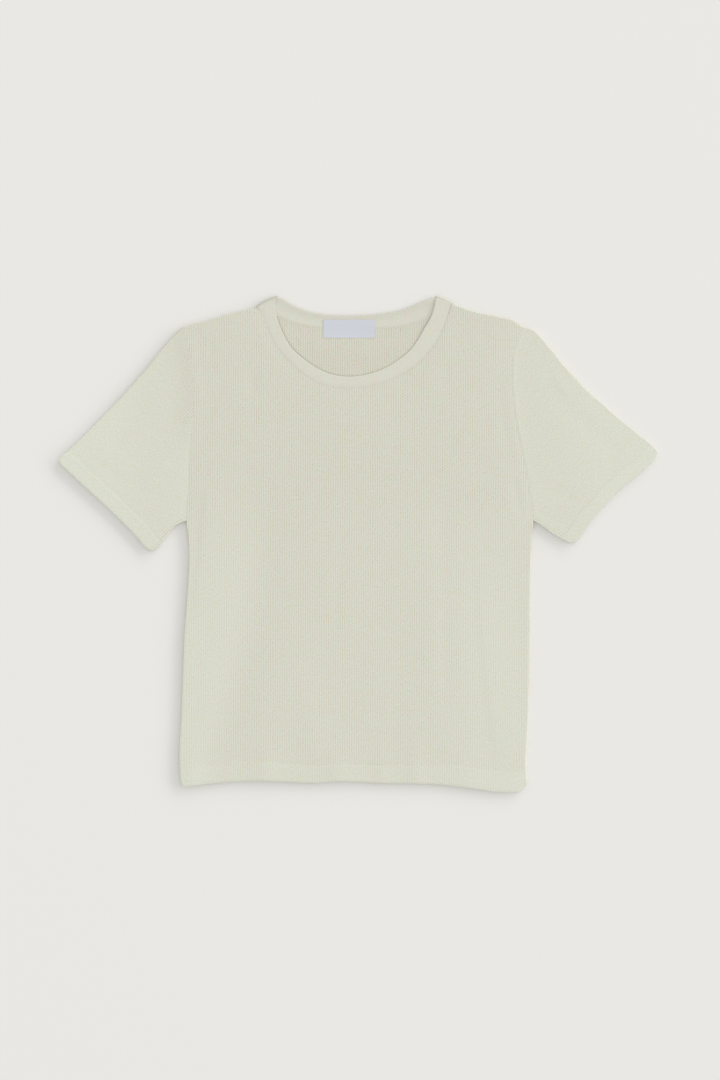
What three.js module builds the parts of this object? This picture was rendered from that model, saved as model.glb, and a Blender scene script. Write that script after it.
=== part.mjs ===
import * as THREE from 'three';

// Crop top laid flat, face up. Millimetres, +X to its left sleeve as worn, +Y to the neck, +Z up.
// The underside of the back rests on z = 0 and the origin is in the middle of it.

// Cloth
const CLOTH = 1.4;
const HEM_CLOTH = 2.4;
const BAND_CLOTH = 2.4;
const LABEL_CLOTH = 0.8;
const SEAM_GAP = 0.3;

// Sizes of the laid garment
const HEM_DEPTH = 21.5;
const CUFF_HEM_DEPTH = 15;
const HEM_STEP = 2.5;
const EDGE_HEIGHT = 5.4;
const EDGE_RADIUS = 2.7;
const CUFF_HEIGHT = 6.4;
const BODY_WIDTH = 374;
const BODY_LENGTH = 475;
const UNDERARM_ROLL_IN = 0.02;

// Heights of the upper layer's inside over the lower layer
const FLOAT = 1.4;
const ARMHOLE_FLOAT = 1.7;
const NECK_FLOAT = 1.5;
const CUFF_FLOAT = 1.0;
const EDGE_BLEND = 16;
const BAND_HEIGHT = 4.0;

// Places down the body, from the shoulder (0) to the hem (1), and across it (0 left, 1 right)
const UNDERARM_AT = 0.42;
const NECK_FROM = 0.215;
const NECK_TO = 0.785;

// Body at its sections. left and right are the panel's edges at each height y.
const ARMHOLE_SECTIONS = [
  { y: 238, left: -191.5, right: 181 },
  { y: 218, left: -187, right: 173 },
  { y: 202, left: -182.5, right: 170 },
  { y: 180, left: -180.5, right: 169.5 },
  { y: 158, left: -180.5, right: 170.5 },
  { y: 125, left: -182.5, right: 175 },
  { y: 103, left: -185, right: 179.5 },
  { y: 70, left: -186.5, right: 186 },
  { y: 48, left: -188, right: 189 },
  { y: 25, left: -188.5, right: 192.5 },
];
const SIDE_SECTIONS = [
  { y: 25, left: -188.5, right: 192.5 },
  { y: 12, left: -186.5, right: 190.5 },
  { y: -5, left: -185, right: 189.5 },
  { y: -33, left: -185.5, right: 188.5 },
  { y: -64, left: -187.5, right: 188 },
  { y: -106, left: -190.5, right: 187.5 },
  { y: -150, left: -192, right: 187 },
  { y: -190, left: -193.5, right: 186 },
  { y: -225, left: -195.5, right: 184 },
  { y: -245, left: -195.5, right: 183.5 },
  { y: -267, left: -193.5, right: 185 },
];

// Top edges from the armhole to the neck, and the wavy hem from left to right
const SHOULDER_LEFT = [
  { x: -191.5, y: 238 },
  { x: -179.5, y: 241.5 },
  { x: -164, y: 245.5 },
  { x: -146.5, y: 251 },
  { x: -128.5, y: 255.5 },
  { x: -111.5, y: 259 },
];
const SHOULDER_RIGHT = [
  { x: 103, y: 263.4 },
  { x: 119, y: 257.5 },
  { x: 131, y: 254 },
  { x: 156, y: 249 },
  { x: 169.5, y: 245.5 },
  { x: 181, y: 238 },
];
const HEM = [
  { x: -193.5, y: -267 },
  { x: -186, y: -266 },
  { x: -152, y: -262 },
  { x: -118, y: -260 },
  { x: -80, y: -261 },
  { x: -48, y: -262.5 },
  { x: -20, y: -260.5 },
  { x: 28, y: -262.5 },
  { x: 81, y: -263.5 },
  { x: 119, y: -267.5 },
  { x: 153, y: -272 },
  { x: 177, y: -271.5 },
  { x: 185, y: -267 },
];

// Neck: the front seam, the front band's free edge, the back seam and the back band's free edge
const FRONT_NECK_SEAM = [
  { x: -111.5, y: 259 },
  { x: -106, y: 251.5 },
  { x: -101, y: 238 },
  { x: -91.5, y: 218.5 },
  { x: -77, y: 201 },
  { x: -58.5, y: 184.5 },
  { x: -36.5, y: 173.5 },
  { x: -9, y: 170.5 },
  { x: 17.5, y: 174 },
  { x: 40.5, y: 182 },
  { x: 64, y: 196.5 },
  { x: 83.5, y: 217.5 },
  { x: 92.5, y: 234 },
  { x: 98, y: 249 },
  { x: 103, y: 263.4 },
];
const FRONT_BAND_EDGE = [
  { x: -88, y: 268.2 },
  { x: -91, y: 261 },
  { x: -88.5, y: 249 },
  { x: -83.5, y: 236 },
  { x: -76, y: 221.5 },
  { x: -65, y: 208.5 },
  { x: -36.5, y: 189 },
  { x: -7.5, y: 184.5 },
  { x: 25.5, y: 191.5 },
  { x: 54, y: 209.5 },
  { x: 64, y: 221.5 },
  { x: 72.5, y: 236 },
  { x: 80, y: 249 },
  { x: 84, y: 261 },
  { x: 85.5, y: 268.8 },
];
const BACK_NECK_SEAM = [
  { x: -111.5, y: 259 },
  { x: -108, y: 256.8 },
  { x: -98, y: 255 },
  { x: -89, y: 252.5 },
  { x: -72.5, y: 247 },
  { x: -55, y: 241.5 },
  { x: -37.5, y: 238 },
  { x: -14.5, y: 237 },
  { x: 20, y: 239 },
  { x: 40.5, y: 242 },
  { x: 61.5, y: 247.5 },
  { x: 79, y: 252.5 },
  { x: 92, y: 257.2 },
  { x: 99.6, y: 260.6 },
  { x: 103, y: 263.4 },
];
const BACK_BAND_EDGE = [
  { x: -88, y: 268.2 },
  { x: -80, y: 264.5 },
  { x: -69.5, y: 259.5 },
  { x: -54, y: 254.5 },
  { x: -36.5, y: 251.5 },
  { x: -14.5, y: 250.5 },
  { x: 9, y: 251 },
  { x: 33, y: 253.5 },
  { x: 53, y: 257.5 },
  { x: 71, y: 263.5 },
  { x: 85.5, y: 268.8 },
];
// Ends of the band's two folds, just inside the shoulder points
const BAND_FOLD_LEFT = { seam: { x: -107.4, y: 258.6 }, edge: { x: -88, y: 268.2 } };
const BAND_FOLD_RIGHT = { seam: { x: 99.2, y: 262.2 }, edge: { x: 85.5, y: 268.8 } };

// Sleeves: the folded top edge and the underarm seam run from the body to the cuff, the cuff from
// the underarm to the top edge
const SLEEVE_LEFT = {
  top: [
    { x: -191.5, y: 238 },
    { x: -199, y: 231.5 },
    { x: -208, y: 221.5 },
    { x: -218, y: 209.5 },
    { x: -232, y: 192 },
    { x: -263, y: 157 },
    { x: -297, y: 121.5 },
    { x: -319, y: 100.5 },
    { x: -330, y: 91 },
  ],
  underarm: [
    { x: -188.5, y: 25 },
    { x: -194, y: 23.5 },
    { x: -200, y: 21 },
    { x: -207, y: 14 },
    { x: -214.5, y: 4 },
    { x: -222, y: -5 },
    { x: -227.5, y: -9 },
  ],
  cuff: [
    { x: -227.5, y: -9 },
    { x: -234.5, y: -2 },
    { x: -242, y: 7 },
    { x: -267.5, y: 33 },
    { x: -307, y: 69.5 },
    { x: -330, y: 91 },
  ],
};
const SLEEVE_RIGHT = {
  top: [
    { x: 181, y: 238 },
    { x: 191.5, y: 234 },
    { x: 201.5, y: 224.5 },
    { x: 214.5, y: 209 },
    { x: 229, y: 191.5 },
    { x: 264, y: 156 },
    { x: 304.5, y: 121 },
    { x: 321, y: 108 },
    { x: 330, y: 98.5 },
  ],
  underarm: [
    { x: 192.5, y: 25 },
    { x: 198, y: 22.5 },
    { x: 207, y: 16.5 },
    { x: 219, y: 9 },
    { x: 230, y: 3 },
    { x: 236.5, y: 0 },
  ],
  cuff: [
    { x: 236.5, y: 0 },
    { x: 242.5, y: 7 },
    { x: 257.5, y: 28 },
    { x: 285, y: 58 },
    { x: 318, y: 86 },
    { x: 330, y: 98.5 },
  ],
};

// Largest folds of the upper layer: the line that each follows, its half width and its height
const FOLDS = [
  { from: [-92, 55], by: [-101, -68], to: [-150, -235], half: 17, height: -0.9 },
  { from: [-64, 20], by: [-72, -80], to: [-108, -225], half: 15, height: 0.7 },
  { from: [86, 73], by: [93, -60], to: [101, -150], half: 12, height: -0.8 },
  { from: [134, -24], by: [143, -112], to: [158, -232], half: 13, height: -0.8 },
  { from: [31, -54], by: [29, -150], to: [26, -240], half: 13, height: -0.6 },
  { from: [-174, 60], by: [-174, 4], to: [-176, -24], half: 9, height: -0.8 },
  { from: [172, 66], by: [174, 40], to: [176, 8], half: 8, height: -0.7 },
  { from: [205, 176], by: [250, 132], to: [292, 94], half: 11, height: -0.9 },
  { from: [-226, 164], by: [-252, 132], to: [-278, 100], half: 12, height: -0.8 },
];

// Woven label inside the back neck
const LABEL = { left: -38, right: 18.5, top: 246, bottom: 226, onBand: 239 };

// Steps of the rounded edges, as angles from the outline to the top of the roll
const ROLL_ANGLES = [0, Math.PI / 6, Math.PI / 3, Math.PI / 2];

// Grid steps
const ACROSS_SHOULDER = 5;
const AROUND_NECK = 24;
const DOWN_ARMHOLE = [0.02, 0.045, 0.09, 0.15, 0.22, 0.3, 0.37];
const DOWN_FRONT_SIDE = [0.425, 0.44, 0.49, 0.56, 0.64, 0.72, 0.8, 0.88, 0.94];
const DOWN_BACK_SIDE = [0.425, 0.44, 0.5, 0.62, 0.74, 0.86];
const ALONG_SLEEVE = [0, 0.05, 0.13, 0.25, 0.4, 0.55, 0.7, 0.84, 0.94, 1];
const ALONG_CUFF = [1 + HEM_STEP / CUFF_HEM_DEPTH, 1.6, 2];
const BAND_STEPS_FOLD = 6;

const UP = new THREE.Vector3(0, 0, 1);

function smooth(from, to, value) {
  return THREE.MathUtils.smoothstep(value, from, to);
}

function curveThrough(rows) {
  const points = rows.map((row) => new THREE.Vector3(row.x, row.y, 0));
  const curve = new THREE.CatmullRomCurve3(points, false, 'centripetal');
  return (share) => curve.getPointAt(THREE.MathUtils.clamp(share, 0, 1));
}

// A patch between four edges in plan. Each edge is a function from 0 to 1.
function planPatch(left, right, top, bottom) {
  const corners = [top(0), top(1), bottom(0), bottom(1)];
  return (s, t) => {
    const place = new THREE.Vector3();
    place.addScaledVector(left(t), 1 - s).addScaledVector(right(t), s);
    place.addScaledVector(top(s), 1 - t).addScaledVector(bottom(s), t);
    place.addScaledVector(corners[0], -(1 - s) * (1 - t));
    place.addScaledVector(corners[1], -s * (1 - t));
    place.addScaledVector(corners[2], -(1 - s) * t);
    place.addScaledVector(corners[3], -s * t);
    return place;
  };
}

// Height that the folds add at a place in plan
function foldHeight(place) {
  let height = 0;
  for (const fold of FOLDS) {
    const start = new THREE.Vector2(...fold.from);
    const middle = new THREE.Vector2(...fold.by);
    const end = new THREE.Vector2(...fold.to);
    const share = THREE.MathUtils.clamp((place.y - start.y) / (end.y - start.y), 0, 1);
    const bend = 4 * share * (1 - share);
    const straight = start.clone().lerp(end, share);
    const offset = middle.clone().sub(start.clone().lerp(end, 0.5)).multiplyScalar(bend);
    const line = straight.add(offset);
    const away = line.distanceTo(new THREE.Vector2(place.x, place.y));
    const fade = smooth(0, 0.2, share) * smooth(0, 0.2, 1 - share);
    height += fold.height * fade * Math.exp(-((away / fold.half) ** 2));
  }
  return height;
}

// A closed wall: the outer points go out along rows and columns, and the inner ones lie one cloth
// thickness behind them. A point may bring its own normal, and otherwise it faces up.
function wallFrom(grid) {
  const rows = grid.length;
  const columns = grid[0].length;
  const at = (row, column) => {
    const r = THREE.MathUtils.clamp(row, 0, rows - 1);
    const c = THREE.MathUtils.clamp(column, 0, columns - 1);
    return grid[r][c].place;
  };
  const outer = [];
  const inner = [];
  for (let row = 0; row < rows; row += 1) {
    for (let column = 0; column < columns; column += 1) {
      const point = grid[row][column];
      const down = at(row + 1, column).clone().sub(at(row - 1, column));
      const across = at(row, column + 1).clone().sub(at(row, column - 1));
      const normal = point.normal ?? down.cross(across).normalize();
      if (!point.normal && normal.z < 0) normal.negate();
      outer.push(point.place);
      inner.push(point.place.clone().addScaledVector(normal, -point.cloth));
    }
  }
  const faces = [];
  const quad = (a, b, c, d) => faces.push(a, b, c, a, c, d);
  const count = rows * columns;
  const index = (row, column) => row * columns + column;
  for (let row = 0; row + 1 < rows; row += 1) {
    for (let column = 0; column + 1 < columns; column += 1) {
      const a = index(row, column);
      const b = index(row + 1, column);
      const c = index(row + 1, column + 1);
      const d = index(row, column + 1);
      quad(a, b, c, d);
      quad(count + a, count + d, count + c, count + b);
    }
  }
  const rim = [];
  for (let column = 0; column < columns; column += 1) rim.push(index(0, column));
  for (let row = 1; row < rows; row += 1) rim.push(index(row, columns - 1));
  for (let column = columns - 2; column >= 0; column -= 1) rim.push(index(rows - 1, column));
  for (let row = rows - 2; row > 0; row -= 1) rim.push(index(row, 0));
  rim.forEach((here, step) => {
    const next = rim[(step + 1) % rim.length];
    quad(here, next, count + next, count + here);
  });
  return solidFrom([...outer, ...inner], faces);
}

// A closed ring of equal sections
function ringFrom(sections) {
  const size = sections[0].length;
  const faces = [];
  sections.forEach((section, step) => {
    const next = (step + 1) % sections.length;
    for (let corner = 0; corner < size; corner += 1) {
      const turn = (corner + 1) % size;
      const a = step * size + corner;
      const b = next * size + corner;
      const c = next * size + turn;
      const d = step * size + turn;
      faces.push(a, b, c, a, c, d);
    }
  });
  return solidFrom(sections.flat(), faces);
}

// Faces are turned so that they point out of the solid
function solidFrom(points, faces) {
  let volume = 0;
  for (let start = 0; start < faces.length; start += 3) {
    const [a, b, c] = faces.slice(start, start + 3).map((corner) => points[corner]);
    volume += a.dot(b.clone().cross(c)) / 6;
  }
  const turned = volume < 0 ? faces.slice().reverse() : faces;
  const geometry = new THREE.BufferGeometry();
  geometry.setAttribute('position', new THREE.Float32BufferAttribute(
    points.flatMap((point) => [point.x, point.y, point.z]),
    3,
  ));
  geometry.setIndex(turned);
  geometry.computeVertexNormals();
  return geometry;
}

// How far the edge has turned at each step of a roll, and its distance from the outline
function rollSteps(length) {
  return ROLL_ANGLES.map((angle) => ({
    angle,
    share: (EDGE_RADIUS * (1 - Math.cos(angle))) / length,
  }));
}

// Stations from 0 to 1 with a roll at both ends, or with one only at the start
function stations(length, middle, atEnd) {
  const roll = rollSteps(length);
  const list = roll.map(({ share, angle }) => ({ share, start: angle, end: Math.PI / 2 }));
  for (const share of middle) list.push({ share, start: Math.PI / 2, end: Math.PI / 2 });
  if (atEnd) {
    for (const { share, angle } of roll.slice().reverse()) {
      list.push({ share: 1 - share, start: Math.PI / 2, end: angle });
    }
  }
  return list;
}

// Body panels
const edgeCurve = (sections, side) => curveThrough(sections.map((row) => ({ x: row[side], y: row.y })));
const bodyEdge = (side) => {
  const armhole = edgeCurve(ARMHOLE_SECTIONS, side);
  const flank = edgeCurve(SIDE_SECTIONS, side);
  return (t) => (t < UNDERARM_AT
    ? armhole(t / UNDERARM_AT)
    : flank((t - UNDERARM_AT) / (1 - UNDERARM_AT)));
};
const bodyTop = (neckRows) => {
  const shoulderLeft = curveThrough(SHOULDER_LEFT);
  const neck = curveThrough(neckRows);
  const shoulderRight = curveThrough(SHOULDER_RIGHT);
  return (s) => {
    if (s < NECK_FROM) return shoulderLeft(s / NECK_FROM);
    if (s <= NECK_TO) return neck((s - NECK_FROM) / (NECK_TO - NECK_FROM));
    return shoulderRight((s - NECK_TO) / (1 - NECK_TO));
  };
};

function acrossBody() {
  const middle = [];
  const firstStep = EDGE_RADIUS / BODY_WIDTH;
  for (let step = 1; step <= ACROSS_SHOULDER; step += 1) {
    middle.push(THREE.MathUtils.lerp(firstStep, NECK_FROM, step / ACROSS_SHOULDER));
  }
  for (let step = 1; step <= AROUND_NECK; step += 1) {
    middle.push(THREE.MathUtils.lerp(NECK_FROM, NECK_TO, step / AROUND_NECK));
  }
  for (let step = 1; step < ACROSS_SHOULDER; step += 1) {
    middle.push(THREE.MathUtils.lerp(NECK_TO, 1 - firstStep, step / ACROSS_SHOULDER));
  }
  return stations(BODY_WIDTH, middle, true);
}

function downBody(side) {
  const hemAt = 1 - HEM_DEPTH / (BODY_LENGTH * 1.06);
  const stepAt = hemAt + HEM_STEP / BODY_LENGTH;
  const middle = [...DOWN_ARMHOLE, UNDERARM_AT, ...side, hemAt, stepAt, 0.985, 1];
  return stations(BODY_LENGTH, middle, false)
    .map((station) => ({ ...station, hem: station.share > hemAt + 1e-6 }));
}

function bodyGrid(neckRows, sideSteps, pointOf) {
  const patch = planPatch(bodyEdge('left'), bodyEdge('right'), bodyTop(neckRows), curveThrough(HEM));
  const columns = acrossBody();
  return downBody(sideSteps).map((row) => columns.map((column) => {
    const place = patch(column.share, row.share);
    const side = column.share < 0.5 ? -1 : 1;
    const sideTurn = Math.min(column.start, column.end);
    const sideRoll = smooth(UNDERARM_AT, UNDERARM_AT + UNDERARM_ROLL_IN, row.share);
    const onShoulder = column.share < NECK_FROM || column.share > NECK_TO;
    const sideAngle = Math.PI / 2 - sideRoll * (Math.PI / 2 - sideTurn);
    const topAngle = onShoulder ? row.start : Math.PI / 2;
    const angle = Math.min(sideAngle, topAngle);
    const outward = topAngle < sideAngle
      ? new THREE.Vector3(side * 0.25, 0.97, 0).normalize()
      : new THREE.Vector3(side, 0, 0);
    const nearSide = Math.min(column.share, 1 - column.share) * BODY_WIDTH;
    const nearTop = row.share * BODY_LENGTH;
    return pointOf({ place, angle, outward, row, column, nearSide, nearTop, onShoulder });
  }));
}

// A point of a rounded edge: the layer's own height, brought towards the middle of the edge
function rolledPoint(place, height, middle, angle, outward, direction, cloth) {
  const z = middle + (height - middle) * Math.sin(angle);
  const point = { place: new THREE.Vector3(place.x, place.y, z), cloth };
  if (angle < Math.PI / 2 - 1e-6) {
    point.normal = outward.clone().multiplyScalar(Math.cos(angle));
    point.normal.addScaledVector(UP, direction * Math.sin(angle)).normalize();
  }
  return point;
}

function buildFront() {
  const grid = bodyGrid(FRONT_NECK_SEAM, DOWN_FRONT_SIDE, (at) => {
    const lower = at.row.hem ? HEM_CLOTH : CLOTH;
    const cloth = at.row.hem ? HEM_CLOTH : CLOTH;
    const inArmhole = 1 - smooth(UNDERARM_AT - 0.03, UNDERARM_AT + 0.03, at.row.share);
    const byArmhole = (1 - smooth(0, EDGE_BLEND, at.nearSide)) * inArmhole;
    const byNeck = at.onShoulder ? 0 : 1 - smooth(0, EDGE_BLEND, at.nearTop);
    const bySide = (1 - smooth(EDGE_RADIUS, EDGE_BLEND, at.nearSide)) * (1 - inArmhole);
    const byTop = at.onShoulder ? 1 - smooth(EDGE_RADIUS, EDGE_BLEND, at.nearTop) : 0;
    const folds = foldHeight(at.place) * (1 - Math.max(byArmhole, byNeck, bySide, byTop));
    const flat = lower + SEAM_GAP + FLOAT + folds + cloth;
    let height = THREE.MathUtils.lerp(flat, CLOTH * 2 + ARMHOLE_FLOAT, byArmhole);
    height = THREE.MathUtils.lerp(height, CLOTH * 2 + NECK_FLOAT, byNeck);
    height = THREE.MathUtils.lerp(height, Math.max(EDGE_HEIGHT, 2 * cloth + SEAM_GAP), bySide);
    height = THREE.MathUtils.lerp(height, EDGE_HEIGHT, byTop);
    const middle = (EDGE_HEIGHT + SEAM_GAP) / 2;
    return rolledPoint(at.place, height, middle, at.angle, at.outward, 1, cloth);
  });
  return wallFrom(grid);
}

function buildBack() {
  const grid = bodyGrid(BACK_NECK_SEAM, DOWN_BACK_SIDE, (at) => {
    const cloth = at.row.hem ? HEM_CLOTH : CLOTH;
    const middle = (EDGE_HEIGHT - SEAM_GAP) / 2;
    const point = rolledPoint(at.place, 0, middle, at.angle, at.outward, -1, cloth);
    point.normal ??= UP.clone().negate();
    return point;
  });
  return wallFrom(grid);
}

// A sleeve is one wall from its underarm seam over the upper layer, round the folded top edge and
// back under to the seam.
function buildSleeve(edges, side) {
  const outwardX = side === 'left' ? -1 : 1;
  const armhole = edgeCurve(ARMHOLE_SECTIONS.slice().reverse(), side);
  const clear = new THREE.Vector3(outwardX * SEAM_GAP, 0, 0);
  const acrossShares = DOWN_ARMHOLE.map((down) => 1 - down / UNDERARM_AT).reverse();
  const top = curveThrough(edges.top);
  const underarm = curveThrough(edges.underarm);
  const cuff = curveThrough(edges.cuff);
  const lengthOf = (edge) => {
    let length = 0;
    for (let step = 0; step < 50; step += 1) {
      length += edge(step / 50).distanceTo(edge((step + 1) / 50));
    }
    return length;
  };
  const topHem = 1 - CUFF_HEM_DEPTH / lengthOf(top);
  const underarmHem = 1 - CUFF_HEM_DEPTH / lengthOf(underarm);
  const hemLine = (v) => {
    const low = underarm(underarmHem).sub(cuff(0));
    const high = top(topHem).sub(cuff(1));
    return cuff(v).add(low.lerp(high, v));
  };
  const cleared = (edge) => (share) => edge(share).addScaledVector(clear, 1 - smooth(0, 0.3, share));
  const main = planPatch(
    cleared((q) => underarm(q * underarmHem)),
    cleared((q) => top(q * topHem)),
    (v) => armhole(v).add(clear),
    hemLine,
  );
  const hem = planPatch(
    (q) => underarm(THREE.MathUtils.lerp(underarmHem, 1, q)),
    (q) => top(THREE.MathUtils.lerp(topHem, 1, q)),
    hemLine,
    cuff,
  );
  const patch = (v, q) => (q <= 1 ? main(v, q) : hem(v, q - 1));
  const grid = [...ALONG_SLEEVE, ...ALONG_CUFF].map((q) => {
    const width = patch(0, q).distanceTo(patch(1, q));
    const inHem = q > 1;
    const cloth = inHem ? HEM_CLOTH : CLOTH;
    const atCuff = smooth(0.8, 2, q);
    const edgeHeight = THREE.MathUtils.lerp(EDGE_HEIGHT, CUFF_HEIGHT, atCuff);
    const across = stations(width, acrossShares, true);
    const foldLine = patch(1, q).sub(patch(0, q)).normalize();
    const upper = across.map((station) => {
      const place = patch(station.share, q);
      const angle = Math.min(station.start, station.end);
      const near = Math.min(station.share, 1 - station.share) * width;
      const byEdge = 1 - smooth(EDGE_RADIUS, EDGE_BLEND, near);
      const bySeam = 1 - smooth(0, 0.3, q);
      const folds = foldHeight(place) * (1 - Math.max(byEdge, bySeam));
      const float = THREE.MathUtils.lerp(FLOAT, CUFF_FLOAT, atCuff);
      let height = 2 * cloth + SEAM_GAP + float + folds;
      height = THREE.MathUtils.lerp(height, CLOTH * 2 + ARMHOLE_FLOAT, bySeam);
      height = THREE.MathUtils.lerp(height, edgeHeight, byEdge);
      const half = station.share < 0.5 ? edgeHeight / 2 + SEAM_GAP / 2 : edgeHeight / 2;
      const outward = foldLine.clone().multiplyScalar(station.share < 0.5 ? -1 : 1);
      return rolledPoint(place, height, half, angle, outward, 1, cloth);
    });
    const lower = across.slice(0, -1).reverse().map((station) => {
      const place = patch(station.share, q);
      const angle = Math.min(station.start, station.end);
      const half = station.share < 0.5 ? edgeHeight / 2 - SEAM_GAP / 2 : edgeHeight / 2;
      const outward = foldLine.clone().multiplyScalar(station.share < 0.5 ? -1 : 1);
      const point = rolledPoint(place, 0, half, angle, outward, -1, cloth);
      point.normal ??= UP.clone().negate();
      return point;
    });
    return [...upper, ...lower];
  });
  return wallFrom(grid);
}

// The band's section, from its seam edge (0) to its free edge (1), with its two faces
const BAND_SECTION = [
  { across: 0, height: -0.55 },
  { across: 0.07, height: -1 },
  { across: 0.5, height: -1 },
  { across: 0.9, height: -1 },
  { across: 1, height: -0.5 },
  { across: 1, height: 0.3 },
  { across: 0.86, height: 0.85 },
  { across: 0.5, height: 1 },
  { across: 0.1, height: 0.8 },
  { across: 0, height: 0.2 },
];

function bandSection(seam, edge, normal, face) {
  return BAND_SECTION.map((corner) => {
    const place = seam.clone().lerp(edge, corner.across);
    return place.addScaledVector(normal, face * corner.height * BAND_CLOTH / 2);
  });
}

function buildNeckband() {
  const low = BAND_CLOTH / 2;
  const layer = (rows, edgeRows, folds, height) => {
    const seamLine = curveThrough(rows);
    const edgeLine = curveThrough(edgeRows);
    const sections = [];
    for (let step = 1; step < AROUND_NECK; step += 1) {
      const share = step / AROUND_NECK;
      const seam = seamLine(share);
      const edge = edgeLine(share);
      const inward = edge.clone().sub(seam).normalize();
      seam.addScaledVector(inward, SEAM_GAP);
      const nearStart = 1 - smooth(0, 0.07, share);
      const nearEnd = 1 - smooth(0, 0.07, 1 - share);
      seam.lerp(new THREE.Vector3(folds[0].seam.x, folds[0].seam.y, 0), nearStart);
      seam.lerp(new THREE.Vector3(folds[1].seam.x, folds[1].seam.y, 0), nearEnd);
      seam.z = height;
      edge.z = height;
      sections.push({ seam, edge });
    }
    return sections;
  };
  const fold = (ends, sign) => {
    const sections = [];
    const seam = new THREE.Vector3(ends.seam.x, ends.seam.y, 0);
    const edge = new THREE.Vector3(ends.edge.x, ends.edge.y, 0);
    const along = edge.clone().sub(seam).normalize();
    const outward = along.clone().cross(UP).multiplyScalar(sign);
    const middle = (BAND_HEIGHT + low) / 2;
    const radius = (BAND_HEIGHT - low) / 2;
    for (let step = 0; step <= BAND_STEPS_FOLD; step += 1) {
      const angle = (step / BAND_STEPS_FOLD) * Math.PI;
      const normal = outward.clone().multiplyScalar(Math.sin(angle));
      normal.addScaledVector(UP, Math.cos(angle));
      const shift = normal.clone().multiplyScalar(radius).setZ(middle + radius * Math.cos(angle));
      sections.push(bandSection(seam.clone().add(shift), edge.clone().add(shift), normal, 1));
    }
    return sections;
  };
  const folds = [BAND_FOLD_LEFT, BAND_FOLD_RIGHT];
  const front = layer(FRONT_NECK_SEAM, FRONT_BAND_EDGE, folds, BAND_HEIGHT);
  const back = layer(BACK_NECK_SEAM, BACK_BAND_EDGE, folds, low);
  const down = UP.clone().negate();
  return ringFrom([
    ...front.map(({ seam, edge }) => bandSection(seam, edge, UP, 1)),
    ...fold(BAND_FOLD_RIGHT, 1),
    ...back.reverse().map(({ seam, edge }) => bandSection(seam, edge, down, 1)),
    ...fold(BAND_FOLD_LEFT, -1).reverse(),
  ]);
}

function buildLabel() {
  const onBand = BAND_CLOTH + SEAM_GAP + LABEL_CLOTH;
  const onPanel = CLOTH + SEAM_GAP + LABEL_CLOTH;
  const heights = [LABEL.top, LABEL.onBand, LABEL.onBand - 2.5, LABEL.onBand - 5, LABEL.bottom];
  const grid = heights.map((y) => {
    const z = THREE.MathUtils.lerp(onPanel, onBand, smooth(LABEL.onBand - 5, LABEL.onBand, y));
    return [0, 0.25, 0.5, 0.75, 1].map((share) => ({
      place: new THREE.Vector3(THREE.MathUtils.lerp(LABEL.left, LABEL.right, share), y, z),
      normal: UP.clone(),
      cloth: LABEL_CLOTH,
    }));
  });
  return wallFrom(grid);
}

const knit = new THREE.MeshStandardMaterial({ color: 0xd6d6c6, roughness: 0.95, metalness: 0 });
const band = new THREE.MeshStandardMaterial({ color: 0xd5d3c3, roughness: 0.92, metalness: 0 });
const woven = new THREE.MeshStandardMaterial({ color: 0xd8daE0, roughness: 0.6, metalness: 0 });

const pieces = [
  { name: 'front', geometry: buildFront(), material: knit },
  { name: 'back', geometry: buildBack(), material: knit },
  { name: 'sleeve_left', geometry: buildSleeve(SLEEVE_LEFT, 'left'), material: knit },
  { name: 'sleeve_right', geometry: buildSleeve(SLEEVE_RIGHT, 'right'), material: knit },
  { name: 'neckband', geometry: buildNeckband(), material: band },
  { name: 'label', geometry: buildLabel(), material: woven },
];

// The origin goes to the middle of the garment's outline on the surface
const box = new THREE.Box3();
for (const piece of pieces) {
  piece.geometry.computeBoundingBox();
  box.union(piece.geometry.boundingBox);
}
const middle = box.getCenter(new THREE.Vector3());

const garment = new THREE.Group();
for (const piece of pieces) {
  const mesh = new THREE.Mesh(piece.geometry, piece.material);
  mesh.name = piece.name;
  mesh.position.set(-middle.x, -middle.y, -box.min.z);
  garment.add(mesh);
}

export default garment;
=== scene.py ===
# %% [markdown]
# A short-sleeved crop top in fine openwork knit, laid flat and seen from straight above.
# The frame brings the solids of its six sewn pieces. Each is dressed here with a finer shell of
# the same form: dense enough for its rolled edges, its turned hems, its soft creases and the
# columns of the knit, which a few thousand faces can't hold.

# %% Frame, and the box of the solids
import math

import bpy
import numpy as np
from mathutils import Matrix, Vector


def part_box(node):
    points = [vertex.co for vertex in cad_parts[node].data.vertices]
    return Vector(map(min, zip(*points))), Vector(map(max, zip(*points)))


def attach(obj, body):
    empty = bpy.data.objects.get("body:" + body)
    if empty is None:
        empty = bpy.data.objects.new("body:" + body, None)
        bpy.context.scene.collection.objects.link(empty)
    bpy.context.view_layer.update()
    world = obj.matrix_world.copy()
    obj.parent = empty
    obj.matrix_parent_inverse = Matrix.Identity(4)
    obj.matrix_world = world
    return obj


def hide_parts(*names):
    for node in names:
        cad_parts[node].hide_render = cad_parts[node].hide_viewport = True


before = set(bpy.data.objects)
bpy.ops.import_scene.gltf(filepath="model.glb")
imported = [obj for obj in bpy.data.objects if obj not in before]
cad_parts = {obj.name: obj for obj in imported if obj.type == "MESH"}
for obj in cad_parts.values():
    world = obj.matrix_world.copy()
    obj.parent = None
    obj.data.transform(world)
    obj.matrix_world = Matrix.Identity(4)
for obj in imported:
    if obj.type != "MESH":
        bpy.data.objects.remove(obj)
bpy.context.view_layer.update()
MM = 0.001

# %% [markdown]
# The garment is drawn in plan, in millimetres, because a flat garment is cut from a flat pattern.
# A body panel is given by its width at a few heights, its shoulders, its neck curve and its hem.
# Between the rows of a table the line is a spline, so that a short table gives a smooth edge.

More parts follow.
